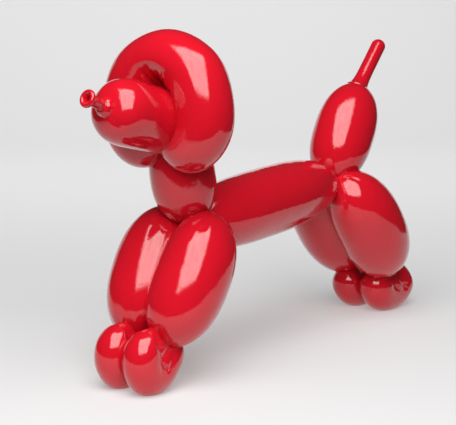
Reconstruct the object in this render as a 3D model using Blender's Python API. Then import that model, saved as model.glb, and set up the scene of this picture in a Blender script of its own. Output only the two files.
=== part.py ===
"""Balloon poodle: a statue cast in one piece from a poodle twisted out of one long balloon.

It faces -Y and stands on z = 0, halfway between its ends and its sides. Each bubble of the balloon
is a closed skin round a centreline, pinched and pleated at its ends. The bubbles meet at twists,
and a Boolean fuses them into one solid. The feet are flat where they stand. Sizes are in metres.
"""

from math import cos, exp, pi, radians, sin, sqrt, tan

import bpy
import numpy as np

# Neck and body, from twist to twist. Overlap is how far a bubble runs on past its twists.
NECK_LENGTH = 0.0813
NECK_RADIUS = 0.0256
NECK_LEAN = radians(-8.6)
NECK_OVERLAP = -0.0020
NECK_SET = 0.0030
BODY_LENGTH = 0.1938
BODY_RADIUS = 0.0290
BODY_OVERLAP = 0.0030
TWIST_RADIUS = 0.0080

# Legs: a pair is pressed together along its length, and each leg bows out to its full radius
FRONT_LEG_LENGTH = 0.0813
FRONT_LEG_RADIUS = 0.0294
FRONT_LEG_LEAN = radians(30.6)
FRONT_LEG_OVERLAP = 0.0138
FRONT_LEG_APART = 0.0178
HIND_LEG_LENGTH = 0.1053
HIND_LEG_RADIUS = 0.0310
HIND_LEG_LEAN = radians(-37.2)
HIND_LEG_OVERLAP = 0.0074
HIND_LEG_APART = 0.0138
LEG_PRESS = 0.0076

# Feet: each is a small bubble folded into a loop in a plane along Y, with both ends at the ankle.
# Set is how far behind the foot's middle its ankle is.
FRONT_FOOT_LENGTH = 0.0515
FRONT_FOOT_HEIGHT = 0.0472
FRONT_FOOT_RADIUS = 0.0152
FRONT_FOOT_SET = 0.0196
FRONT_FOOT_CREST = 0.0150
HIND_FOOT_LENGTH = 0.0655
HIND_FOOT_HEIGHT = 0.0450
HIND_FOOT_RADIUS = 0.0160
HIND_FOOT_SET = -0.0116
HIND_FOOT_CREST = 0.0050
FOOT_PRESS = 0.0008
FOOT_FLAT = 0.0011
FOOT_SETTLE = 0.12
FOOT_SETTLE_HEIGHT = 0.0120
ANKLE_PINCH = 0.5
ANKLE_SINK = 0.0015

# Head: the snout is pushed through the ear loop, which hangs in a lobe at each side
SNOUT_LENGTH = 0.0750
SNOUT_RADIUS = 0.0252
SNOUT_LIFT = radians(14.4)
SNOUT_OVERLAP = 0.0048
EAR_RADIUS = 0.0225
EAR_SPREAD = 0.0342
EAR_RISE = 0.0504
EAR_DROP = 0.0134
EAR_SET = -0.0098
EAR_LEAN = radians(2.5)
EAR_DENT = 0.35
EAR_DENT_WIDTH = radians(30)
EAR_BULGE = 0.85
EAR_BULGE_BEARING = radians(150)
EAR_WINDOW = radians(80)

# Nozzle: the end that the balloon was blown up through, a knob of pleats and then a rolled lip
NOZZLE_LENGTH = 0.0225
NOZZLE_RADIUS = 0.0042
KNOB_RADIUS = 0.0084
KNOB_LENGTH = 0.0080
NOZZLE_TURN = radians(7.5)
LIP_RADIUS = 0.0069
LIP_THICKNESS = 0.0038
LIP_WRAP = radians(63)
MOUTH_RADIUS = 0.0018
MOUTH_DEPTH = 0.0040

# Tail: a bubble, and the stretch past it that the air never reached
TAIL_LENGTH = 0.0927
TAIL_RADIUS = 0.0273
TAIL_LEAN = radians(29.6)
TAIL_OVERLAP = 0.0021
TIP_LENGTH = 0.0540
TIP_RADIUS = 0.0067
TIP_FLARE = 0.35
TIP_FLARE_LENGTH = 0.0050
TIP_LEAN = radians(42.9)
TIP_ROUND = radians(76)

# Nozzle and tail tip both start this deep inside their bubble
STEM_ROOT = 0.0120

# How blunt the bubbles' ends are: 2 is an ellipse, and more is nearer to a cylinder
EGG = 2.4
LEG_BLUNT = 2.6
BODY_BLUNT = 3.1
SNOUT_BLUNT = 5.0
EAR_BLUNT = 6

# The folds that a twist leaves in the ends of a bubble, as shares of its radius and half length
PLEATS = 8
PLEAT_DEPTH = 0.10
PLEAT_REACH = 0.30

# Facets. The sides of a bubble on x = 0 aren't a multiple of 4, so that no edge lies in that plane.
BUBBLE_SIDES = 26
BUBBLE_RINGS = 13
BODY_RINGS = 16
CORE_RINGS = 5
STEM_SIDES = 18
FOOT_SIDES = 20
FOOT_RINGS = 12
EAR_SIDES = 24
EAR_RINGS = 34
CENTRELINE_POINTS = 41

RED = (0.52, 0.008, 0.018, 1.0)


def clear_scene():
    for thing in list(bpy.data.objects):
        bpy.data.objects.remove(thing, do_unlink=True)


def lacquer():
    """Glossy red lacquer, one coat over the whole cast."""
    material = bpy.data.materials.new("red_lacquer")
    material.use_nodes = True
    shader = material.node_tree.nodes["Principled BSDF"]
    shader.inputs["Base Color"].default_value = RED
    shader.inputs["Roughness"].default_value = 0.12
    shader.inputs["Metallic"].default_value = 0.0
    material.diffuse_color = RED
    return material


def toward(lean, length):
    """A step of this length upward, leaning back (+Y) by the given angle."""
    return np.array([0.0, length * sin(lean), length * cos(lean)])


def smooth_path(points, count):
    """A Catmull-Rom curve through the points, as evenly spaced samples."""
    points = np.array(points, float)
    padded = np.vstack([2 * points[0] - points[1], points, 2 * points[-1] - points[-2]])
    place = np.linspace(0, len(points) - 1, 16 * len(points))
    span = np.clip(place.astype(int), 0, len(points) - 2)
    t = (place - span)[:, None]
    before, start, end, after = (padded[span + i] for i in range(4))
    curve = 0.5 * (
        2 * start
        + (end - before) * t
        + (2 * before - 5 * start + 4 * end - after) * t**2
        + (3 * start - before - 3 * end + after) * t**3
    )
    steps = np.linalg.norm(np.diff(curve, axis=0), axis=1)
    travelled = np.concatenate([[0], np.cumsum(steps)]) / steps.sum()
    return at_shares(curve, travelled, np.linspace(0, 1, count))


def at_shares(curve, travelled, shares):
    return np.stack([np.interp(shares, travelled, curve[:, i]) for i in range(3)], axis=1)


def straight_path(start, end, overlap, bow=0.0):
    """A line from a little before one twist to a little past the next, bowed along X between them."""
    half = (end - start) / 2
    half = half * (1 + overlap / np.linalg.norm(half))
    s = np.linspace(-1, 1, CENTRELINE_POINTS)[:, None]
    return (start + end) / 2 + s * half + (1 - s**2) * np.array([bow, 0.0, 0.0])


def pleats(s, angle):
    """Radius multiplier of the folds at a place s from -1 to 1 along a bubble."""
    nearness = np.clip((np.abs(s) - 1 + PLEAT_REACH) / PLEAT_REACH, 0, 1)
    return 1 - PLEAT_DEPTH * nearness**1.5 * (0.5 - 0.5 * np.cos(PLEATS * angle))


def surface(name, points, faces, material):
    mesh = bpy.data.meshes.new(name)
    mesh.from_pydata(points.tolist(), [], faces)
    mesh.update()
    mesh.shade_smooth()
    mesh.materials.append(material)
    thing = bpy.data.objects.new(name, mesh)
    bpy.context.scene.collection.objects.link(thing)
    return thing


def band(low, high, sides):
    """Faces between two rings of points whose first points have the numbers low and high."""
    for side in range(sides):
        following = (side + 1) % sides
        yield low + side, low + following, high + following, high + side


def skin(name, rings, start, end, material):
    """A closed mesh through the rings, with a pole at each end."""
    count, sides = rings.shape[:2]
    points = np.vstack([rings.reshape(-1, 3), start, end])
    near_pole = count * sides
    last = near_pole - sides
    faces = [face for ring in range(count - 1) for face in band(ring * sides, (ring + 1) * sides, sides)]
    faces += [(near_pole, (side + 1) % sides, side) for side in range(sides)]
    faces += [(near_pole + 1, last + side, last + (side + 1) % sides) for side in range(sides)]
    return surface(name, points, faces, material)


def closed_ring(name, rings, material):
    """A closed mesh through rings that follow each other round a loop."""
    count, sides = rings.shape[:2]
    starts = [ring * sides for ring in range(count)]
    faces = [face for ring in range(count) for face in band(starts[ring - 1], starts[ring], sides)]
    return surface(name, rings.reshape(-1, 3), faces, material)


def ring_directions(path, side):
    """Two directions across the path at each of its points, the first nearest to side."""
    along = np.gradient(path, axis=0)
    along /= np.linalg.norm(along, axis=1)[:, None]
    across = np.array(side) - (along @ np.array(side))[:, None] * along
    across /= np.linalg.norm(across, axis=1)[:, None]
    return across, np.cross(along, across)


def bubble(name, path, radius, material, blunt=EGG, rings=BUBBLE_RINGS):
    """An inflated bubble: at s from -1 to 1 along it, the radius is radius * (1 - |s|^blunt)^0.5."""
    s = -np.cos(np.linspace(0, pi, rings + 2))[1:-1]
    travelled = np.linspace(0, 1, len(path))
    across, up = ring_directions(path, (1, 0, 0))
    share = (s + 1) / 2
    centre = at_shares(path, travelled, share)[:, None]
    across = at_shares(across, travelled, share)[:, None]
    up = at_shares(up, travelled, share)[:, None]
    angle = np.linspace(0, 2 * pi, BUBBLE_SIDES, endpoint=False)[None, :]
    out = radius * np.sqrt(1 - np.abs(s) ** blunt)[:, None] * pleats(s[:, None], angle)
    turn = across * np.cos(angle)[..., None] + up * np.sin(angle)[..., None]
    return skin(name, centre + out[..., None] * turn, path[0], path[-1], material)


def turned(name, base, direction, profile, material):
    """A body turned round a line: profile lists (distance along it, radius), poles left out."""
    direction = direction / np.linalg.norm(direction)
    across = np.array([1.0, 0.0, 0.0])
    up = np.cross(direction, across)
    distance, radius = np.array(profile).T
    angle = np.linspace(0, 2 * pi, STEM_SIDES, endpoint=False)
    turn = across * np.cos(angle)[:, None] + up * np.sin(angle)[:, None]
    rings = base + distance[:, None, None] * direction + radius[:, None, None] * turn
    start = base + distance[0] * direction
    end = base + distance[-1] * direction
    return skin(name, rings, start, end, material)


def twist_core(name, centre, material):
    """The tight middle of a twist, which fills the space between the pinched ends round it."""
    up = np.array([0.0, 0.0, TWIST_RADIUS])
    path = straight_path(centre - up, centre + up, 0.0)
    return bubble(name, path, TWIST_RADIUS, material, 2.0, CORE_RINGS)


def twists():
    """The places where bubbles meet, worked out from the front feet up and then to the tail."""
    front_ankle = np.array([0.0, 0.0, FRONT_FOOT_HEIGHT - ANKLE_SINK])
    chest = front_ankle + toward(FRONT_LEG_LEAN, FRONT_LEG_LENGTH)
    hip_height = HIND_FOOT_HEIGHT - ANKLE_SINK + HIND_LEG_LENGTH * cos(HIND_LEG_LEAN)
    run = sqrt(BODY_LENGTH**2 - (hip_height - chest[2]) ** 2)
    hip = np.array([0.0, chest[1] + run, hip_height])
    return {
        "front_ankle": front_ankle,
        "chest": chest,
        "head": chest + toward(NECK_LEAN, NECK_LENGTH),
        "hip": hip,
        "hind_ankle": hip - toward(HIND_LEG_LEAN, HIND_LEG_LENGTH),
        "tail_end": hip + toward(TAIL_LEAN, TAIL_LENGTH),
    }


def leg_pair(name, ankle, top, radius, overlap, apart, foot_apart, material):
    """Two legs, this far apart (from x = 0) at the top and at their feet, pressed together between."""
    bow = radius - LEG_PRESS - (apart + foot_apart) / 2
    for side, sign in (("left", 1), ("right", -1)):
        leg_top = top + [sign * apart, 0, 0]
        leg_ankle = ankle + [sign * foot_apart, 0, 0]
        path = straight_path(leg_top, leg_ankle, overlap, sign * bow)
        yield bubble(f"{side}_{name}_leg", path, radius, material, LEG_BLUNT)


def reach(origins, directions, centres, radii):
    """How far each direction leads from its origin until it leaves the last ball on its way.

    The balls, with the given centres and radii, are strung along a centreline, so that together
    they fill a bent bubble however tight its bend is. The arrays broadcast, with the balls last.
    """
    offset = centres - origins[..., None, :]
    ahead = np.sum(offset * directions[..., None, :], axis=-1)
    room = ahead**2 - np.sum(offset**2, axis=-1) + radii**2
    return np.max(np.where(room > 0, ahead + np.sqrt(np.maximum(room, 0)), 0), axis=-1)


def foot_pair(name, ankle, length, height, radius, offset, crest, material):
    """Two feet: each is a loop in a plane of its own, seen from its middle in every direction.

    The loop stands higher by the crest on the side away from its ankle, and settles onto the ground.
    """
    turn = np.linspace(-pi, pi, CENTRELINE_POINTS)
    upward = (1 - np.cos(turn)) / 2
    radii = radius * (1 - ANKLE_PINCH * upward**8)
    y = (length / 2 - radius) * np.sin(turn) + offset * upward**3
    rise = np.clip(-np.sign(offset) * np.sin(turn), 0, 1) ** 2 * upward
    z = radius - FOOT_FLAT + (height - 2 * radius) * upward + crest * rise
    centres = np.stack([0 * y, y, z], axis=1)
    middle = np.array([0.0, 0.0, height / 2 - FOOT_FLAT])
    around = np.linspace(0, 2 * pi, FOOT_SIDES, endpoint=False)[None, :]
    aside = (pi * np.arange(1, FOOT_RINGS + 1) / (FOOT_RINGS + 1))[:, None]
    across = np.cos(aside) + 0 * around
    directions = np.stack([across, np.sin(aside) * np.sin(around), np.sin(aside) * np.cos(around)], -1)
    poles = np.array([[1.0, 0, 0], [-1.0, 0, 0]])
    rings = middle + reach(middle, directions, centres, radii)[..., None] * directions
    ends = middle + reach(middle, poles, centres, radii)[:, None] * poles
    rings[..., 2] -= FOOT_SETTLE * np.clip(FOOT_SETTLE_HEIGHT - rings[..., 2], 0, None)
    for side, sign in (("left", 1), ("right", -1)):
        place = np.array([sign * (radius - FOOT_PRESS), ankle[1] - offset, 0.0])
        yield skin(f"{side}_{name}_foot", rings + place, ends[0] + place, ends[1] + place, material)


def ear_path():
    """The ear loop's centreline, from the head twist round over its top and back, in the plane y = 0."""
    x = EAR_SPREAD
    left = [(0.0, 0.0), (-0.66 * x, -EAR_DROP), (-1.05 * x, 0.0)]
    left += [(-1.02 * x, 0.45 * EAR_RISE), (-0.72 * x, 0.82 * EAR_RISE)]
    right = [(-x, z) for x, z in reversed(left)]
    points = [(x, 0.0, z) for x, z in left + [(0.0, EAR_RISE)] + right]
    return smooth_path(points, 2 * CENTRELINE_POINTS - 1)


def ear_loop(head, material):
    """The ears: one long bubble from the head twist down, round over the snout and back.

    It is cut by half planes that all start at a line along Y through the loop's middle. At its top
    the inside is dented in front and swells behind, where it closes the gap over the snout.
    """
    path = ear_path()
    share = np.abs(np.linspace(-1, 1, len(path)))
    radii = EAR_RADIUS * np.sqrt(1 - share**EAR_BLUNT)
    middle = np.array([0.0, 0.0, (EAR_RISE - EAR_DROP) / 2])
    bearing = np.arctan2(path[:, 0], path[:, 2] - middle[2])
    sections = pi - 2 * pi * (np.arange(EAR_RINGS) + 0.5) / EAR_RINGS
    around = np.linspace(0, 2 * pi, EAR_SIDES, endpoint=False)
    inner = np.clip(-np.cos(around), 0, 1)
    behind = np.clip(np.cos(around - EAR_BULGE_BEARING), 0, 1) ** 6
    rings = []
    for section in sections:
        outward = np.array([sin(section), 0.0, cos(section)])
        off = np.abs((bearing - section + pi) % (2 * pi) - pi)
        near = off < EAR_WINDOW
        origin = middle + outward * ((path[np.argmin(off)] - middle) @ outward)
        turn = np.cos(around)[:, None] * outward + np.sin(around)[:, None] * [0.0, 1.0, 0.0]
        bend = np.exp(-((section / EAR_DENT_WIDTH) ** 2))
        pressed = 1 - bend * (EAR_DENT * inner - EAR_BULGE * behind)
        out = reach(origin, turn, path[near], radii[near]) * pressed
        rings.append(origin + out[:, None] * turn)
    rings = np.array(rings)
    rings[..., 1] += EAR_SET + tan(EAR_LEAN) * rings[..., 2]
    return closed_ring("ear_loop", rings + head, material)


def nozzle(snout_end, direction, material):
    """The stub past the snout: a knob, a narrow neck, and a rolled lip round an open mouth."""
    profile = [(-STEM_ROOT, NOZZLE_RADIUS)]
    for turn in np.linspace(0, pi / 2, 4):
        profile.append((KNOB_LENGTH * sin(turn), NOZZLE_RADIUS + (KNOB_RADIUS - NOZZLE_RADIUS) * cos(turn)))
    profile.append((NOZZLE_LENGTH - LIP_THICKNESS, NOZZLE_RADIUS))
    roll = LIP_THICKNESS / 2
    for turn in np.linspace(-LIP_WRAP, pi, 7):
        profile.append((NOZZLE_LENGTH + roll * sin(turn), LIP_RADIUS - roll + roll * cos(turn)))
    profile.append((NOZZLE_LENGTH - MOUTH_DEPTH, MOUTH_RADIUS))
    return turned("nozzle", snout_end, direction, profile, material)


def tail_tip(tail_end, material):
    """The uninflated end of the balloon: it flares where it leaves the tail, and its far end is round."""
    profile = [(-STEM_ROOT, TIP_RADIUS / 2)]
    for distance in TIP_FLARE_LENGTH * np.array([-0.5, 0.2, 1.0, 2.5]):
        profile.append((distance, TIP_RADIUS * (1 + TIP_FLARE * exp(-distance / TIP_FLARE_LENGTH))))
    for turn in np.linspace(0, TIP_ROUND, 5):
        profile.append((TIP_LENGTH - TIP_RADIUS * (1 - sin(turn)), TIP_RADIUS * cos(turn)))
    return turned("tail_tip", tail_end, toward(TIP_LEAN, 1.0), profile, material)


def bubbles(material):
    """Every bubble and end of the balloon, as objects of their own."""
    at = twists()
    snout_end = at["head"] + toward(SNOUT_LIFT - pi / 2, SNOUT_LENGTH)
    neck = straight_path(at["chest"] + [0.0, NECK_SET, 0.0], at["head"], NECK_OVERLAP)
    body = straight_path(at["chest"], at["hip"], BODY_OVERLAP)
    tail = straight_path(at["hip"], at["tail_end"], TAIL_OVERLAP)
    snout = straight_path(at["head"], snout_end, SNOUT_OVERLAP)
    yield bubble("body", body, BODY_RADIUS, material, BODY_BLUNT, BODY_RINGS)
    yield bubble("neck", neck, NECK_RADIUS, material)
    yield bubble("snout", snout, SNOUT_RADIUS, material, SNOUT_BLUNT)
    yield bubble("tail", tail, TAIL_RADIUS, material)
    yield ear_loop(at["head"], material)
    yield nozzle(snout_end, toward(SNOUT_LIFT + NOZZLE_TURN - pi / 2, 1.0), material)
    yield tail_tip(at["tail_end"], material)
    front_apart = FRONT_FOOT_RADIUS - FOOT_PRESS
    hind_apart = HIND_FOOT_RADIUS - FOOT_PRESS
    front_leg = (FRONT_LEG_RADIUS, FRONT_LEG_OVERLAP, FRONT_LEG_APART, front_apart)
    hind_leg = (HIND_LEG_RADIUS, HIND_LEG_OVERLAP, HIND_LEG_APART, hind_apart)
    front_foot = (FRONT_FOOT_LENGTH, FRONT_FOOT_HEIGHT, FRONT_FOOT_RADIUS, FRONT_FOOT_SET, FRONT_FOOT_CREST)
    hind_foot = (HIND_FOOT_LENGTH, HIND_FOOT_HEIGHT, HIND_FOOT_RADIUS, HIND_FOOT_SET, HIND_FOOT_CREST)
    yield from leg_pair("front", at["front_ankle"], at["chest"], *front_leg, material)
    yield from leg_pair("hind", at["hind_ankle"], at["hip"], *hind_leg, material)
    yield from foot_pair("front", at["front_ankle"], *front_foot, material)
    yield from foot_pair("hind", at["hind_ankle"], *hind_foot, material)
    for name in ("chest", "head", "hip"):
        yield twist_core(f"{name}_twist", at[name], material)


def ground_slab(size, material):
    """A slab whose top is the ground, which cuts the feet flat."""
    corners = [(x, y, z) for z in (-size, 0.0) for y in (-size, size) for x in (-size, size)]
    faces = [(0, 2, 3, 1), (4, 5, 7, 6), (0, 1, 5, 4), (2, 6, 7, 3), (0, 4, 6, 2), (1, 3, 7, 5)]
    mesh = bpy.data.meshes.new("ground")
    mesh.from_pydata(corners, [], faces)
    mesh.materials.append(material)
    slab = bpy.data.objects.new("ground", mesh)
    bpy.context.scene.collection.objects.link(slab)
    return slab


def hide(helper):
    helper.hide_render = True
    helper.display_type = "WIRE"


def fuse(figure, others, ground):
    """Boolean modifiers on the figure: add each other bubble, then cut at the ground.

    Where three bubbles meet, the exact solver leaves open slivers, so the manifold one is used.
    """
    for other in others:
        union = figure.modifiers.new(f"add_{other.name}", "BOOLEAN")
        union.operation = "UNION"
        union.solver = "MANIFOLD"
        union.object = other
        hide(other)
    cut = figure.modifiers.new("stand", "BOOLEAN")
    cut.operation = "DIFFERENCE"
    cut.solver = "MANIFOLD"
    cut.object = ground
    hide(ground)


def centre(pieces):
    """Moves the pieces along Y so that the figure's ends lie at equal distances from the origin."""
    y = [vertex.co.y for piece in pieces for vertex in piece.data.vertices]
    middle = (min(y) + max(y)) / 2
    for piece in pieces:
        for vertex in piece.data.vertices:
            vertex.co.y -= middle


def main():
    clear_scene()
    material = lacquer()
    pieces = list(bubbles(material))
    centre(pieces)
    figure, *others = pieces
    figure.name = "balloon_poodle"
    fuse(figure, others, ground_slab(2 * BODY_LENGTH, material))


main()
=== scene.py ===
"""Balloon poodle: the lacquered look of the cast figure, on a pale studio sweep.

Each bubble of the balloon is a fine closed surface of its own, on the same centrelines and at the
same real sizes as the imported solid, which these surfaces replace. It faces -Y and stands on z = 0.
"""

from math import cos, exp, pi, radians, sin, sqrt, tan

import bpy
import numpy as np
from mathutils import Matrix, Vector


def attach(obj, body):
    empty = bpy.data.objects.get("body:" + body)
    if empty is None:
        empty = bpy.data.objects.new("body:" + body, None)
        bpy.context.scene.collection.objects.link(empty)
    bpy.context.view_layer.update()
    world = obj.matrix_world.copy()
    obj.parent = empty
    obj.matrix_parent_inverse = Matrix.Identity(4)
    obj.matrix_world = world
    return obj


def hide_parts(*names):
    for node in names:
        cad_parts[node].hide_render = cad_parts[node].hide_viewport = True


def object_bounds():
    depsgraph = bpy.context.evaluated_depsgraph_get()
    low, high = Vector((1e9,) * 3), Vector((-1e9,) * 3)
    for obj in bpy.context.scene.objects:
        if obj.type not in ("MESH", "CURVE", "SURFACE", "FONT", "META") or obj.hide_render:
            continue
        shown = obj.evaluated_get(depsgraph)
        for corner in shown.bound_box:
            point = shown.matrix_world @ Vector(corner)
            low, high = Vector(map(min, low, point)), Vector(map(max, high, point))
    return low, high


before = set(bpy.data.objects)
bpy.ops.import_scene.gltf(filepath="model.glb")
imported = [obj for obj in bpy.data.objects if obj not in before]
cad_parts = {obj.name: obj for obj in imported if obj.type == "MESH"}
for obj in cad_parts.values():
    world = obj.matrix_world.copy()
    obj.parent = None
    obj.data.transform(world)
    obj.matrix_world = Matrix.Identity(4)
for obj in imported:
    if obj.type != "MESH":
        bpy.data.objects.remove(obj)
solid_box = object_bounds()

# Neck and body, from twist to twist, in metres. Overlap is how far a bubble runs on past its twists.
NECK_LENGTH = 0.0813
NECK_RADIUS = 0.0256
NECK_LEAN = radians(-8.6)
NECK_OVERLAP = -0.0020
NECK_SET = 0.0030
BODY_LENGTH = 0.1938
BODY_RADIUS = 0.0290
BODY_OVERLAP = 0.0030
TWIST_RADIUS = 0.0080

# Legs: a pair is pressed together along its length, and each leg bows out to its full radius
FRONT_LEG_LENGTH = 0.0813
FRONT_LEG_RADIUS = 0.0294
FRONT_LEG_LEAN = radians(30.6)
FRONT_LEG_OVERLAP = 0.0138
FRONT_LEG_APART = 0.0178
HIND_LEG_LENGTH = 0.1053
HIND_LEG_RADIUS = 0.0310
HIND_LEG_LEAN = radians(-37.2)
HIND_LEG_OVERLAP = 0.0074
HIND_LEG_APART = 0.0138
LEG_PRESS = 0.0076

# Feet: each is a small bubble folded into a loop in a plane along Y, with both ends at the ankle
FRONT_FOOT_LENGTH = 0.0515
FRONT_FOOT_HEIGHT = 0.0472
FRONT_FOOT_RADIUS = 0.0152
FRONT_FOOT_SET = 0.0196
FRONT_FOOT_CREST = 0.0150
HIND_FOOT_LENGTH = 0.0655
HIND_FOOT_HEIGHT = 0.0450
HIND_FOOT_RADIUS = 0.0160
HIND_FOOT_SET = -0.0116
HIND_FOOT_CREST = 0.0050
FOOT_PRESS = 0.0008
FOOT_FLAT = 0.0011
FOOT_SETTLE = 0.12
FOOT_SETTLE_HEIGHT = 0.0120
ANKLE_PINCH = 0.5
ANKLE_PINCH_POWER = 8
ANKLE_LEAN_POWER = 3
ANKLE_SINK = 0.0015

# Where a foot's two arms meet on its sides: the top and the low end of the crease, as (y, z)
FRONT_CREASE = ((-0.0065, 0.0420), (0.0035, 0.0190))
HIND_CREASE = ((-0.0050, 0.0400), (0.0085, 0.0190))
CREASE_BEND = 2.5
CREASE_DEPTH = 0.0018
CREASE_WIDTH = 0.0014
CREASE_STEP = 0.0065
CREASE_STEP_WIDTH = 0.0020
CREASE_STEP_GROWTH = 1.5
CREASE_POINTS = 60
ARMS_FILL = 0.985

# Head: the snout is pushed through the ear loop, which hangs in a lobe at each side
SNOUT_LENGTH = 0.0750
SNOUT_RADIUS = 0.0252
SNOUT_LIFT = radians(14.4)
SNOUT_OVERLAP = 0.0048
EAR_RADIUS = 0.0225
EAR_SPREAD = 0.0342
EAR_RISE = 0.0504
EAR_DROP = 0.0134
EAR_SET = -0.0098
EAR_LEAN = radians(2.5)
EAR_DENT = 0.35
EAR_DENT_WIDTH = radians(30)
EAR_BULGE = 0.85
EAR_BULGE_BEARING = radians(150)
EAR_BULGE_POWER = 6
EAR_WINDOW = radians(80)
EAR_WRINKLE = 0.0019
EAR_WRINKLES = 21
EAR_WRINKLE_SLANT = 2.2

# Nozzle: the end that the balloon was blown up through, rolled into a lip
NOZZLE_LENGTH = 0.0225
NOZZLE_RADIUS = 0.0042
KNOB_RADIUS = 0.0084
KNOB_LENGTH = 0.0080
STUB_SHARE = 0.8
NOZZLE_TURN = radians(7.5)
LIP_RADIUS = 0.0069
LIP_THICKNESS = 0.0038
LIP_WRAP = radians(63)
MOUTH_RADIUS = 0.0012
MOUTH_DEPTH = 0.0075
MOUTH_START = 0.05
MOUTH_TAPER = 0.6
MOUTH_PLEAT = 2.0

# The pleats round the nozzle and the tail tip: two waves, the slow one half as deep as the other
PLEATS = 9
SLOW_PLEATS = 5
SLOW_PLEATS_TURN = 1.0
NOZZLE_PLEAT = 0.022
TIP_PLEAT = 0.015

# Tail: a bubble, and the stretch past it that the air never reached
TAIL_LENGTH = 0.0927
TAIL_RADIUS = 0.0273
TAIL_LEAN = radians(29.6)
TAIL_OVERLAP = 0.0021
TIP_LENGTH = 0.0540
TIP_RADIUS = 0.0067
TIP_FLARE = 0.35
TIP_FLARE_LENGTH = 0.0050
TIP_LEAN = radians(42.9)
STEM_ROOT = 0.0120

# How blunt the bubbles' ends are: 2 is an ellipse, and more is nearer to a cylinder
EGG = 2.4
LEG_BLUNT = 2.6
BODY_BLUNT = 3.1
SNOUT_BLUNT = 5.0
EAR_BLUNT = 6

# The folds that a twist leaves in the ends of a bubble
FOLDS = 11
FOLD_DEPTH = 0.13
SNOUT_FOLD_DEPTH = 0.04
TAIL_FOLD_DEPTH = 0.02
FOLD_WIDTH = radians(9)
FOLD_REACH = 0.00765
FOLD_STRAY = 0.3
FOLD_WIDTHS = (0.7, 1.5)
FOLD_DEPTHS = (0.35, 1.0)

# How finely the surfaces are worked out
BUBBLE_SIDES = 176
RINGS_PER_METRE = 1100
FEWEST_RINGS = 24
FOOT_SIDES = 176
FOOT_RINGS = 96
EAR_SIDES = 160
EAR_RINGS = 288
STEM_SIDES = 120
KNOB_RINGS = 24
STUB_RINGS = 14
LIP_RINGS = 36
MOUTH_RINGS = 24
TIP_RINGS = 110
TIP_END_RINGS = 40
CENTRELINE_POINTS = 161

# The camera stands as the photograph's did: it turns round a point on the floor and is then shifted
CAMERA_AZIMUTH = radians(38.89)
CAMERA_ELEVATION = radians(9.96)
CAMERA_ROLL = radians(-0.49)
CAMERA_DISTANCE = 1.1702
CAMERA_PIVOT = np.array([0.0, 0.0422, 0.0])
CAMERA_ASIDE = -0.0546
CAMERA_RAISE = 0.1060
VIEW_WIDTH = 0.3967
SENSOR_WIDTH = 36.0

# The paper, measured from the middle of the figure along the view: in front of it, behind it and aside
SWEEP_FRONT = 0.41
SWEEP_BACK = 2.2
SWEEP_BEND = 0.8
SWEEP_BEND_ROWS = 40
SWEEP_HEIGHT = 0.9
SWEEP_RIGHT = 0.52
SWEEP_LEFT = 1.2
SWEEP_WIDENS_FROM = 0.5
SWEEP_WIDENING = 0.6

# The lamps: places are right of the view, toward the camera and up, and a tilt is down from level
KEY_PLACE = (-0.09, 0.715, 0.90)
KEY_TILT = radians(60)
KEY_SIZE = (1.12, 1.46)
KEY_WATTS = 28.5
DIFFUSER_FADE = 0.14
WALL_LAMP_PLACE = (-0.15, -0.6, 1.25)
WALL_LAMP_TILT = radians(20)
WALL_LAMP_SIZE = (2.5, 0.6)
WALL_LAMP_WATTS = 30.0

# Colours, each as red, green, blue and alpha
RED_DEEP = (0.55, 0.0055, 0.016, 1.0)
RED_BRIGHT = (0.61, 0.0065, 0.019, 1.0)
PAPER_DIM = (0.445, 0.445, 0.445, 1.0)
PAPER_BRIGHT = (0.455, 0.455, 0.455, 1.0)
# How brightly the paper glows: a painted fill light, which lifts the shadows on the paper
PAPER_PAINTED_FILL = 0.31
ROOM = (0.03, 0.03, 0.03, 1.0)
BACKDROP = (0.76, 0.76, 0.76, 1.0)

UP = np.array([0.0, 0.0, 1.0])


def toward(lean, length):
    """A step of this length upward, leaning back (+Y) by the given angle."""
    return np.array([0.0, length * sin(lean), length * cos(lean)])


def at_shares(curve, travelled, shares):
    return np.stack([np.interp(shares, travelled, curve[:, i]) for i in range(3)], axis=1)


def smooth_path(points, count):
    """A Catmull-Rom curve through the points, as evenly spaced samples."""
    points = np.array(points, float)
    padded = np.vstack([2 * points[0] - points[1], points, 2 * points[-1] - points[-2]])
    place = np.linspace(0, len(points) - 1, 64 * len(points))
    span = np.clip(place.astype(int), 0, len(points) - 2)
    t = (place - span)[:, None]
    before, start, end, after = (padded[span + i] for i in range(4))
    curve = 0.5 * (
        2 * start
        + (end - before) * t
        + (2 * before - 5 * start + 4 * end - after) * t**2
        + (3 * start - before - 3 * end + after) * t**3
    )
    steps = np.linalg.norm(np.diff(curve, axis=0), axis=1)
    travelled = np.concatenate([[0], np.cumsum(steps)]) / steps.sum()
    return at_shares(curve, travelled, np.linspace(0, 1, count))


def straight_path(start, end, overlap, bow=0.0):
    """A line from a little before one twist to a little past the next, bowed along X between them."""
    half = (end - start) / 2
    half = half * (1 + overlap / np.linalg.norm(half))
    s = np.linspace(-1, 1, CENTRELINE_POINTS)[:, None]
    return (start + end) / 2 + s * half + (1 - s**2) * np.array([bow, 0.0, 0.0])


def path_length(path):
    return np.linalg.norm(np.diff(path, axis=0), axis=1).sum()


def folds(angle, seed):
    """Grooves round a twist, from 0 to 1: bells at uneven bearings, of uneven width and depth."""
    random = np.random.default_rng(seed)
    bearing = 2 * pi * (np.arange(FOLDS) + random.uniform(-FOLD_STRAY, FOLD_STRAY, FOLDS)) / FOLDS
    width = FOLD_WIDTH * random.uniform(*FOLD_WIDTHS, FOLDS)
    depth = random.uniform(*FOLD_DEPTHS, FOLDS)
    off = np.abs((angle[..., None] - bearing + pi) % (2 * pi) - pi)
    return np.sum(depth * np.exp(-((off / width) ** 2)), axis=-1)


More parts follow.
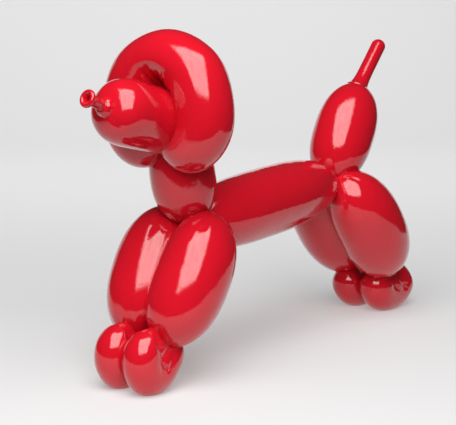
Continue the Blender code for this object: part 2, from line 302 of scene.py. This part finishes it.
def bubble(path, radius, seed, blunt=EGG, depths=(FOLD_DEPTH, FOLD_DEPTH)):
    """An inflated bubble: at s from -1 to 1 along it, the radius is radius * (1 - |s|^blunt)^0.5.

    Folds draw the radius in, and fade away from each twist as e^(-distance / FOLD_REACH).
    """
    length = path_length(path)
    rings = int(length * RINGS_PER_METRE) + FEWEST_RINGS
    s = -np.cos(np.linspace(0, pi, rings + 2))[1:-1, None]
    along = np.gradient(path, axis=0)
    along /= np.linalg.norm(along, axis=1)[:, None]
    sideways = np.array([1.0, 0.0, 0.0])
    across = sideways - (along @ sideways)[:, None] * along
    across /= np.linalg.norm(across, axis=1)[:, None]
    travelled = np.linspace(0, 1, len(path))
    share = (s[:, 0] + 1) / 2
    centre = at_shares(path, travelled, share)[:, None]
    first = at_shares(across, travelled, share)[:, None]
    second = at_shares(np.cross(along, across), travelled, share)[:, None]
    angle = np.linspace(0, 2 * pi, BUBBLE_SIDES, endpoint=False)[None, :]
    left = (1 - np.abs(s)) * length / 2
    nearness = np.exp(-left / FOLD_REACH)
    groove = np.where(s < 0, depths[0] * folds(angle, seed), depths[1] * folds(angle, seed + 1))
    out = radius * np.sqrt(1 - np.abs(s) ** blunt) * (1 - groove * nearness)
    turn = first * np.cos(angle)[..., None] + second * np.sin(angle)[..., None]
    return centre + out[..., None] * turn, path[0], path[-1]


def reach(origins, directions, centres, radii):
    """How far each direction leads from its origin until it leaves the last ball on its way.

    The balls, with the given centres and radii, are strung along a centreline, so that together
    they fill a bent bubble however tight its bend is. The arrays broadcast, with the balls last.
    """
    offset = centres - origins[..., None, :]
    ahead = np.sum(offset * directions[..., None, :], axis=-1)
    room = ahead**2 - np.sum(offset**2, axis=-1) + radii**2
    return np.max(np.where(room > 0, ahead + np.sqrt(np.maximum(room, 0)), 0), axis=-1)


def foot(length, height, radius, offset, crest, crease):
    """A foot round its own middle: a bubble bent into a loop, seen from the middle in every direction.

    The loop stands higher by the crest on the side away from its ankle, settles onto the ground, and
    its two arms are pressed together, so that only a crease is left where they meet.
    """
    turn = np.linspace(-pi, pi, CENTRELINE_POINTS)
    upward = (1 - np.cos(turn)) / 2
    arm = radius * (1 - ANKLE_PINCH * upward**ANKLE_PINCH_POWER)
    lean = offset * upward**ANKLE_LEAN_POWER
    y = (length / 2 - radius) * np.sin(turn) + lean
    rise = np.clip(-np.sign(offset) * np.sin(turn), 0, 1) ** 2 * upward
    z = radius - FOOT_FLAT + (height - 2 * radius) * upward
    loop = np.stack([0 * y, y, z + crest * rise], axis=1)
    between = np.stack([0 * y, lean, z], axis=1)
    centres = np.vstack([loop, between])
    radii = np.concatenate([arm, ARMS_FILL * arm])
    middle = np.array([0.0, 0.0, height / 2 - FOOT_FLAT])
    around = np.linspace(0, 2 * pi, FOOT_SIDES, endpoint=False)[None, :]
    aside = (pi * np.arange(1, FOOT_RINGS + 1) / (FOOT_RINGS + 1))[:, None]
    across = np.cos(aside) + 0 * around
    directions = np.stack([across, np.sin(aside) * np.sin(around), np.sin(aside) * np.cos(around)], -1)
    poles = np.array([[1.0, 0, 0], [-1.0, 0, 0]])
    rings = middle + reach(middle, directions, centres, radii)[..., None] * directions
    ends = middle + reach(middle, poles, centres, radii)[:, None] * poles
    rings[..., 2] -= FOOT_SETTLE * np.clip(FOOT_SETTLE_HEIGHT - rings[..., 2], 0, None)
    creased(rings, radius, *crease)
    creased(ends, radius, *crease)
    return rings, ends[0], ends[1]


def crease_place(share, top, low):
    """Where a crease runs: y at a share of its height is y_top + (y_low - y_top) * (1 - share)^bend."""
    return top[0] + (low[0] - top[0]) * (1 - share) ** CREASE_BEND


def creased(points, radius, top, low):
    """Presses a crease into a foot's sides: a groove with a bell's section.

    The arm behind it lies a step deeper, which sets in away from the groove and grows with height.
    """
    share = np.linspace(0, 1, CREASE_POINTS)
    line = np.stack([crease_place(share, top, low), low[1] + (top[1] - low[1]) * share], 1)
    off = np.min(np.linalg.norm(points[..., None, 1:] - line, axis=-1), axis=-1)
    up = np.clip((points[..., 2] - low[1]) / (top[1] - low[1]), 0, 1)
    behind = (points[..., 1] > crease_place(up, top, low)) * up**CREASE_STEP_GROWTH
    groove = CREASE_DEPTH * np.exp(-((off / CREASE_WIDTH) ** 2))
    step = CREASE_STEP * behind * (1 - np.exp(-((off / CREASE_STEP_WIDTH) ** 2)))
    side = np.clip(np.abs(points[..., 0]) / radius, 0, 1)
    points[..., 0] -= np.sign(points[..., 0]) * side * (groove + step)


def ear_path():
    """The ear loop's centreline, from the head twist round over its top and back, in the plane y = 0."""
    x = EAR_SPREAD
    left = [(0.0, 0.0), (-0.66 * x, -EAR_DROP), (-1.05 * x, 0.0)]
    left += [(-1.02 * x, 0.45 * EAR_RISE), (-0.72 * x, 0.82 * EAR_RISE)]
    right = [(-x, z) for x, z in reversed(left)]
    points = [(x, 0.0, z) for x, z in left + [(0.0, EAR_RISE)] + right]
    return smooth_path(points, 2 * CENTRELINE_POINTS - 1)


def ear_loop(head):
    """The ear loop as rings cut by half planes that start at a line along Y through its middle.

    The inside of the arch is dented and buckles into short wrinkles, as a bent balloon does, and
    toward its back it swells, which closes the gap over the snout.
    """
    path = ear_path()
    share = np.abs(np.linspace(-1, 1, len(path)))
    radii = EAR_RADIUS * np.sqrt(1 - share**EAR_BLUNT)
    middle = np.array([0.0, 0.0, (EAR_RISE - EAR_DROP) / 2])
    bearing = np.arctan2(path[:, 0], path[:, 2] - middle[2])
    around = np.linspace(0, 2 * pi, EAR_SIDES, endpoint=False)
    inner = np.clip(-np.cos(around), 0, 1)
    back = np.clip(np.cos(around - EAR_BULGE_BEARING), 0, 1) ** EAR_BULGE_POWER
    rings = []
    for section in pi - 2 * pi * (np.arange(EAR_RINGS) + 0.5) / EAR_RINGS:
        outward = np.array([sin(section), 0.0, cos(section)])
        off = np.abs((bearing - section + pi) % (2 * pi) - pi)
        near = off < EAR_WINDOW
        origin = middle + outward * ((path[np.argmin(off)] - middle) @ outward)
        turn = np.cos(around)[:, None] * outward + np.sin(around)[:, None] * [0.0, 1.0, 0.0]
        bend = np.exp(-((section / EAR_DENT_WIDTH) ** 2))
        wave = np.cos(EAR_WRINKLES * section + EAR_WRINKLE_SLANT * np.sin(around))
        wrinkle = EAR_WRINKLE * bend * inner**2 * wave
        pressed = 1 - bend * (EAR_DENT * inner - EAR_BULGE * back)
        out = reach(origin, turn, path[near], radii[near]) * pressed + wrinkle
        rings.append(origin + out[:, None] * turn)
    rings = np.array(rings)
    rings[..., 1] += EAR_SET + tan(EAR_LEAN) * rings[..., 2]
    return rings + head


def turned(base, direction, profile, pleat):
    """A body turned round a line: profile lists (distance along it, radius, share of pleats)."""
    direction = direction / np.linalg.norm(direction)
    across = np.array([1.0, 0.0, 0.0])
    up = np.cross(direction, across)
    distance, radius, share = np.array(profile).T[..., None]
    angle = np.linspace(0, 2 * pi, STEM_SIDES, endpoint=False)[None, :]
    wave = np.cos(PLEATS * angle) + 0.5 * np.cos(SLOW_PLEATS * angle + SLOW_PLEATS_TURN)
    radius = radius * (1 + pleat * share * wave)
    turn = across * np.cos(angle)[..., None] + up * np.sin(angle)[..., None]
    rings = base + distance[..., None] * direction + radius[..., None] * turn
    return rings, base + profile[0][0] * direction, base + profile[-1][0] * direction


def nozzle(snout_end, direction):
    """The stub past the snout: a pleated knob, a narrow neck, a rolled lip and the mouth behind it."""
    profile = [(-STEM_ROOT, NOZZLE_RADIUS, 0.0)]
    for turn in np.linspace(0, pi / 2, KNOB_RINGS):
        wider = (KNOB_RADIUS - NOZZLE_RADIUS) * cos(turn)
        profile.append((KNOB_LENGTH * sin(turn), NOZZLE_RADIUS + wider, 1.0))
    for distance in np.linspace(KNOB_LENGTH, STUB_SHARE * NOZZLE_LENGTH, STUB_RINGS)[1:]:
        profile.append((distance, NOZZLE_RADIUS, 1.0))
    roll = LIP_THICKNESS / 2
    for turn in np.linspace(-LIP_WRAP, pi, LIP_RINGS):
        profile.append((NOZZLE_LENGTH + roll * sin(turn), LIP_RADIUS - roll + roll * cos(turn), 0.0))
    bore = LIP_RADIUS - LIP_THICKNESS
    for depth in np.linspace(MOUTH_START, 1, MOUTH_RINGS):
        narrow = bore + (MOUTH_RADIUS - bore) * depth**MOUTH_TAPER
        profile.append((NOZZLE_LENGTH - MOUTH_DEPTH * depth, narrow, MOUTH_PLEAT * depth))
    return turned(snout_end, direction, profile, NOZZLE_PLEAT)


def tail_tip(tail_end):
    """The uninflated end of the balloon: it flares where it leaves the tail, and its far end is round."""
    profile = [(-STEM_ROOT, TIP_RADIUS / 2, 0.0)]
    for distance in np.linspace(-0.5 * TIP_FLARE_LENGTH, TIP_LENGTH - 1.1 * TIP_RADIUS, TIP_RINGS):
        flare = TIP_FLARE * exp(-distance / TIP_FLARE_LENGTH)
        profile.append((distance, TIP_RADIUS * (1 + flare), min(flare, 1.0)))
    for turn in np.linspace(0, radians(88), TIP_END_RINGS):
        profile.append((TIP_LENGTH - TIP_RADIUS * (1 - sin(turn)), TIP_RADIUS * cos(turn), 0.0))
    return turned(tail_end, toward(TIP_LEAN, 1.0), profile, TIP_PLEAT)


def twists():
    """The places where bubbles meet, worked out from the front feet up and then to the tail."""
    front_ankle = np.array([0.0, 0.0, FRONT_FOOT_HEIGHT - ANKLE_SINK])
    chest = front_ankle + toward(FRONT_LEG_LEAN, FRONT_LEG_LENGTH)
    hip_height = HIND_FOOT_HEIGHT - ANKLE_SINK + HIND_LEG_LENGTH * cos(HIND_LEG_LEAN)
    run = sqrt(BODY_LENGTH**2 - (hip_height - chest[2]) ** 2)
    hip = np.array([0.0, chest[1] + run, hip_height])
    return {
        "front_ankle": front_ankle,
        "chest": chest,
        "head": chest + toward(NECK_LEAN, NECK_LENGTH),
        "hip": hip,
        "hind_ankle": hip - toward(HIND_LEG_LEAN, HIND_LEG_LENGTH),
        "tail_end": hip + toward(TAIL_LEAN, TAIL_LENGTH),
    }


def leg(ankle, top, radius, overlap, apart, foot_apart, sign, seed):
    """A leg on one side, this far from x = 0 at its top and at its foot, bowed outward between."""
    bow = radius - LEG_PRESS - (apart + foot_apart) / 2
    path = straight_path(top + [sign * apart, 0, 0], ankle + [sign * foot_apart, 0, 0], overlap, sign * bow)
    return bubble(path, radius, seed, LEG_BLUNT)


def moved(shape, place):
    return tuple(part + place for part in shape)


def balloon():
    """Every bubble and end of the balloon: a name, and its rings with their two poles, if it has any."""
    at = twists()
    snout_end = at["head"] + toward(SNOUT_LIFT - pi / 2, SNOUT_LENGTH)
    yield "body", bubble(straight_path(at["chest"], at["hip"], BODY_OVERLAP), BODY_RADIUS, 1, BODY_BLUNT)
    neck = straight_path(at["chest"] + [0.0, NECK_SET, 0.0], at["head"], NECK_OVERLAP)
    yield "neck", bubble(neck, NECK_RADIUS, 3)
    snout = straight_path(at["head"], snout_end, SNOUT_OVERLAP)
    yield "snout", bubble(snout, SNOUT_RADIUS, 5, SNOUT_BLUNT, (FOLD_DEPTH, SNOUT_FOLD_DEPTH))
    tail = straight_path(at["hip"], at["tail_end"], TAIL_OVERLAP)
    yield "tail", bubble(tail, TAIL_RADIUS, 7, EGG, (FOLD_DEPTH, TAIL_FOLD_DEPTH))
    yield "ear_loop", (ear_loop(at["head"]),)
    yield "nozzle", nozzle(snout_end, toward(SNOUT_LIFT + NOZZLE_TURN - pi / 2, 1.0))
    yield "tail_tip", tail_tip(at["tail_end"])
    front_apart = FRONT_FOOT_RADIUS - FOOT_PRESS
    hind_apart = HIND_FOOT_RADIUS - FOOT_PRESS
    front_leg = (FRONT_LEG_RADIUS, FRONT_LEG_OVERLAP, FRONT_LEG_APART, front_apart)
    hind_leg = (HIND_LEG_RADIUS, HIND_LEG_OVERLAP, HIND_LEG_APART, hind_apart)
    front_size = (FRONT_FOOT_LENGTH, FRONT_FOOT_HEIGHT, FRONT_FOOT_RADIUS)
    hind_size = (HIND_FOOT_LENGTH, HIND_FOOT_HEIGHT, HIND_FOOT_RADIUS)
    front_foot = foot(*front_size, FRONT_FOOT_SET, FRONT_FOOT_CREST, FRONT_CREASE)
    hind_foot = foot(*hind_size, HIND_FOOT_SET, HIND_FOOT_CREST, HIND_CREASE)
    front_y = at["front_ankle"][1] - FRONT_FOOT_SET
    hind_y = at["hind_ankle"][1] - HIND_FOOT_SET
    for side, sign, seed in (("left", 1, 20), ("right", -1, 30)):
        yield f"{side}_front_leg", leg(at["front_ankle"], at["chest"], *front_leg, sign, seed)
        yield f"{side}_hind_leg", leg(at["hind_ankle"], at["hip"], *hind_leg, sign, seed + 4)
        yield f"{side}_front_foot", moved(front_foot, [sign * front_apart, front_y, 0.0])
        yield f"{side}_hind_foot", moved(hind_foot, [sign * hind_apart, hind_y, 0.0])
    for number, name in enumerate(("chest", "head", "hip")):
        up = TWIST_RADIUS * UP
        core = straight_path(at[name] - up, at[name] + up, 0.0)
        yield f"{name}_twist", bubble(core, TWIST_RADIUS, 40 + 2 * number, 2.0)


def band_faces(count, sides, wraps):
    """Quads between each ring of points and the next, and from the last to the first if it wraps."""
    ring = np.arange(count if wraps else count - 1)[:, None]
    side = np.arange(sides)[None, :]
    low, high = ring * sides, ((ring + 1) % count) * sides
    following = (side + 1) % sides
    quads = [low + side, low + following, high + following, high + side]
    return np.stack(quads, axis=-1).reshape(-1, 4)


def closed_surface(name, shape):
    """A closed mesh through the rings of a shape, which end in two poles or else meet in a loop."""
    rings = shape[0]
    count, sides = rings.shape[:2]
    points = np.vstack([rings.reshape(-1, 3), *[np.reshape(pole, (1, 3)) for pole in shape[1:]]])
    faces = band_faces(count, sides, len(shape) == 1).tolist()
    if len(shape) == 3:
        side = np.arange(sides)
        following = (side + 1) % sides
        pole = np.full(sides, count * sides)
        faces += np.stack([pole, following, side], axis=1).tolist()
        last = (count - 1) * sides
        faces += np.stack([pole + 1, last + side, last + following], axis=1).tolist()
    mesh = bpy.data.meshes.new(name)
    mesh.from_pydata(points, [], faces)
    mesh.update()
    mesh.shade_smooth()
    thing = bpy.data.objects.new(name, mesh)
    bpy.context.scene.collection.objects.link(thing)
    return thing


def fitted(shapes, box):
    """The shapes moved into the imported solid's box, standing flat on the ground.

    Fine rings reach a hair further out than the solid's facets, so each side is drawn in to fit.
    """
    points = np.vstack([np.reshape(part, (-1, 3)) for _, shape in shapes for part in shape])
    low, high = points.min(axis=0), points.max(axis=0)
    low[2] = 0.0
    box_low, box_high = (np.array(corner) for corner in box)
    scale = (box_high - box_low) / (high - low)
    for name, shape in shapes:
        parts = [box_low + (part - low) * scale for part in shape]
        yield name, tuple(np.maximum(part, [-np.inf, -np.inf, 0.0]) for part in parts)


class Wire:
    """A shader value that can be used in arithmetic: each operator adds its Math node."""

    def __init__(self, tree, socket):
        self.tree = tree
        self.socket = socket

    def math(self, operation, first, second):
        node = self.tree.nodes.new("ShaderNodeMath")
        node.operation = operation
        for place, value in enumerate((first, second)):
            join(self.tree, node.inputs[place], value)
        return Wire(self.tree, node.outputs[0])

    def __add__(self, other):
        return self.math("ADD", self, other)

    __radd__ = __add__

    def __sub__(self, other):
        return self.math("SUBTRACT", self, other)

    def __rsub__(self, other):
        return self.math("SUBTRACT", other, self)

    def __mul__(self, other):
        return self.math("MULTIPLY", self, other)

    __rmul__ = __mul__

    def magnitude(self):
        return self.math("ABSOLUTE", self, 0.0)


def join(tree, socket, value):
    """Sets a node's input to a number, a vector or a colour, or links a wire to it."""
    if isinstance(value, Wire):
        tree.links.new(value.socket, socket)
    else:
        socket.default_value = value


class Finish:
    """A node tree under construction."""

    def __init__(self, tree):
        self.tree = tree

    def node(self, kind, settings=None, inputs=None, output=0):
        """Adds a node: its type, its settings, then the values or links of its sockets."""
        node = self.tree.nodes.new(kind)
        for name, value in (settings or {}).items():
            setattr(node, name, value)
        for name, value in (inputs or {}).items():
            join(self.tree, node.inputs[name], value)
        return Wire(self.tree, node.outputs[output]) if node.outputs else None

    def mixed(self, factor, first, second):
        """A colour between two others. The Mix node's colour sockets are its seventh, eighth and third."""
        return self.node("ShaderNodeMix", {"data_type": "RGBA"}, {0: factor, 6: first, 7: second}, 2)


def red_lacquer():
    """Deep red under a clear gloss: faint clouds in the red, faint ripples and peel in the lacquer."""
    material = bpy.data.materials.new("red_lacquer_fine")
    material.use_nodes = True
    material.node_tree.nodes.clear()
    finish = Finish(material.node_tree)
    place = finish.node("ShaderNodeTexCoord", output="Object")
    clouds = finish.node("ShaderNodeTexNoise", inputs={"Vector": place, "Scale": 16.0, "Detail": 2.0})
    peel = finish.node("ShaderNodeTexNoise", inputs={"Vector": place, "Scale": 420.0, "Detail": 1.0})
    ripple = finish.node("ShaderNodeTexNoise", inputs={"Vector": place, "Scale": 45.0, "Detail": 3.0})
    colour = finish.mixed(clouds, RED_DEEP, RED_BRIGHT)
    height = ripple * 1.5 + peel * 0.02
    bump = finish.node("ShaderNodeBump", inputs={"Height": height, "Strength": 1.0, "Distance": 0.0007})
    surface = finish.node(
        "ShaderNodeBsdfPrincipled",
        inputs={
            "Base Color": colour,
            "Roughness": clouds * 0.03 + 0.045,
            "IOR": 1.35,
            "Coat Weight": 1.0,
            "Coat Roughness": 0.09,
            "Coat IOR": 1.42,
            "Normal": bump,
        },
    )
    finish.node("ShaderNodeOutputMaterial", inputs={"Surface": surface})
    return material


def sweep_paper():
    """Matt white studio paper, grey in itself, whose even glow is a painted fill light that lifts the
    shadows on it.
    """
    material = bpy.data.materials.new("sweep_paper")
    material.use_nodes = True
    material.node_tree.nodes.clear()
    finish = Finish(material.node_tree)
    place = finish.node("ShaderNodeTexCoord", output="Object")
    grain = finish.node("ShaderNodeTexNoise", inputs={"Vector": place, "Scale": 3.0, "Detail": 3.0})
    colour = finish.mixed(grain, PAPER_DIM, PAPER_BRIGHT)
    # The glow is painted fill light: it lifts the shadows on the paper and lights the figure's undersides
    glow = {"Emission Color": (1.0, 1.0, 1.0, 1.0), "Emission Strength": PAPER_PAINTED_FILL}
    inputs = {"Base Color": colour, "Roughness": 0.9, **glow}
    surface = finish.node("ShaderNodeBsdfPrincipled", inputs=inputs)
    finish.node("ShaderNodeOutputMaterial", inputs={"Surface": surface})
    return material


def camera_axes(azimuth, elevation):
    """Unit vectors to the right of the view, up in it and back toward the camera."""
    back = np.array([sin(azimuth) * cos(elevation), -cos(azimuth) * cos(elevation), sin(elevation)])
    right = np.array([cos(azimuth), sin(azimuth), 0.0])
    return right, np.cross(back, right), back


def place_by_axes(thing, right, up, back, location):
    axes = Matrix([right, up, back]).transposed().to_4x4()
    thing.matrix_world = Matrix.Translation(Vector(location)) @ axes


def camera():
    """The camera, where the photograph was taken from."""
    right, up, back = camera_axes(CAMERA_AZIMUTH, CAMERA_ELEVATION)
    location = CAMERA_PIVOT + CAMERA_DISTANCE * back + CAMERA_ASIDE * right + CAMERA_RAISE * up
    rolled_right = right * cos(CAMERA_ROLL) + up * sin(CAMERA_ROLL)
    rolled_up = up * cos(CAMERA_ROLL) - right * sin(CAMERA_ROLL)
    data = bpy.data.cameras.new("camera")
    data.sensor_fit = "HORIZONTAL"
    data.sensor_width = SENSOR_WIDTH
    data.lens = SENSOR_WIDTH * CAMERA_DISTANCE / VIEW_WIDTH
    data.clip_start = 0.01
    thing = bpy.data.objects.new("camera", data)
    bpy.context.scene.collection.objects.link(thing)
    place_by_axes(thing, rolled_right, rolled_up, back, location)
    bpy.context.scene.camera = thing


def sweep():
    """Paper that runs back from in front of the figure and curves up into a low wall, square to the view.

    Its sides run straight back past the figure and then spread, so that the view stays inside them.
    """
    right, _, front = camera_axes(CAMERA_AZIMUTH, 0.0)
    bend = np.linspace(0, pi / 2, SWEEP_BEND_ROWS)
    curve = SWEEP_BACK - SWEEP_BEND + SWEEP_BEND * np.sin(bend)
    run = np.concatenate([[-SWEEP_FRONT, 0.0, SWEEP_WIDENS_FROM], curve, [SWEEP_BACK]])
    rise = np.concatenate([[0.0, 0.0, 0.0], SWEEP_BEND * (1 - np.cos(bend)), [SWEEP_HEIGHT]])
    spread = SWEEP_WIDENING * np.clip(run - SWEEP_WIDENS_FROM, 0, None)
    side = np.stack([-SWEEP_LEFT - spread, SWEEP_RIGHT + spread], axis=1)
    middle = -run[:, None, None] * front + rise[:, None, None] * UP
    points = middle + side[..., None] * right
    row = 2 * np.arange(len(run) - 1)
    faces = np.stack([row, row + 1, row + 3, row + 2], axis=1)
    mesh = bpy.data.meshes.new("sweep")
    mesh.from_pydata(points.reshape(-1, 3), [], faces.tolist())
    mesh.update()
    mesh.shade_smooth()
    mesh.materials.append(sweep_paper())
    thing = bpy.data.objects.new("sweep", mesh)
    bpy.context.scene.collection.objects.link(thing)


def softbox(name, place, tilt, size, watts):
    """A rectangular lamp that shines away from the camera and down by the tilt."""
    view_right, _, view_front = camera_axes(CAMERA_AZIMUTH, 0.0)
    location = place[0] * view_right + place[1] * view_front + place[2] * UP
    data = bpy.data.lights.new(name, "AREA")
    data.shape = "RECTANGLE"
    data.size, data.size_y = size
    data.energy = watts
    thing = bpy.data.objects.new(name, data)
    bpy.context.scene.collection.objects.link(thing)
    place_by_axes(thing, *camera_axes(CAMERA_AZIMUTH, tilt), location)
    return thing


def diffuser(light):
    """Softbox cloth: bright in the middle, uneven, and fading over a band along its edges."""
    light.use_nodes = True
    light.node_tree.nodes.clear()
    finish = Finish(light.node_tree)
    place = finish.node("ShaderNodeNewGeometry", output="Parametric")
    glow = 1.0
    for side in ("X", "Y"):
        at = finish.node("ShaderNodeSeparateXYZ", inputs={"Vector": place}, output=side)
        from_edge = 0.5 - (at - 0.5).magnitude()
        band = {"Value": from_edge, "From Min": 0.0, "From Max": DIFFUSER_FADE, "To Min": 0.0, "To Max": 1.0}
        glow = finish.node("ShaderNodeMapRange", {"interpolation_type": "SMOOTHSTEP"}, band) * glow
    cloth = finish.node("ShaderNodeTexNoise", inputs={"Vector": place, "Scale": 7.0, "Detail": 3.0})
    strength = glow * (cloth * 0.8 + 0.6)
    emission = finish.node("ShaderNodeEmission", inputs={"Strength": strength})
    finish.node("ShaderNodeOutputLight", inputs={"Surface": emission})


def studio():
    """One large softbox up in front of the figure, a lamp for the backdrop and a dim room."""
    key = softbox("key_softbox", KEY_PLACE, KEY_TILT, KEY_SIZE, KEY_WATTS)
    diffuser(key.data)
    softbox("wall_lamp", WALL_LAMP_PLACE, WALL_LAMP_TILT, WALL_LAMP_SIZE, WALL_LAMP_WATTS)
    world = bpy.data.worlds.new("studio_room")
    bpy.context.scene.world = world
    world.use_nodes = True
    world.node_tree.nodes.clear()
    finish = Finish(world.node_tree)
    seen = finish.node("ShaderNodeLightPath", output="Is Camera Ray")
    colour = finish.mixed(seen, ROOM, BACKDROP)
    background = finish.node("ShaderNodeBackground", inputs={"Color": colour, "Strength": 1.0})
    finish.node("ShaderNodeOutputWorld", inputs={"Surface": background})
    settings = bpy.context.scene.view_settings
    settings.view_transform = "Standard"
    settings.look = "None"


def main():
    camera()
    lacquer = red_lacquer()
    for name, shape in fitted(list(balloon()), solid_box):
        piece = closed_surface(name, shape)
        piece.data.materials.append(lacquer)
        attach(piece, "root")
        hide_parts("balloon_poodle")
    sweep()
    studio()


main()
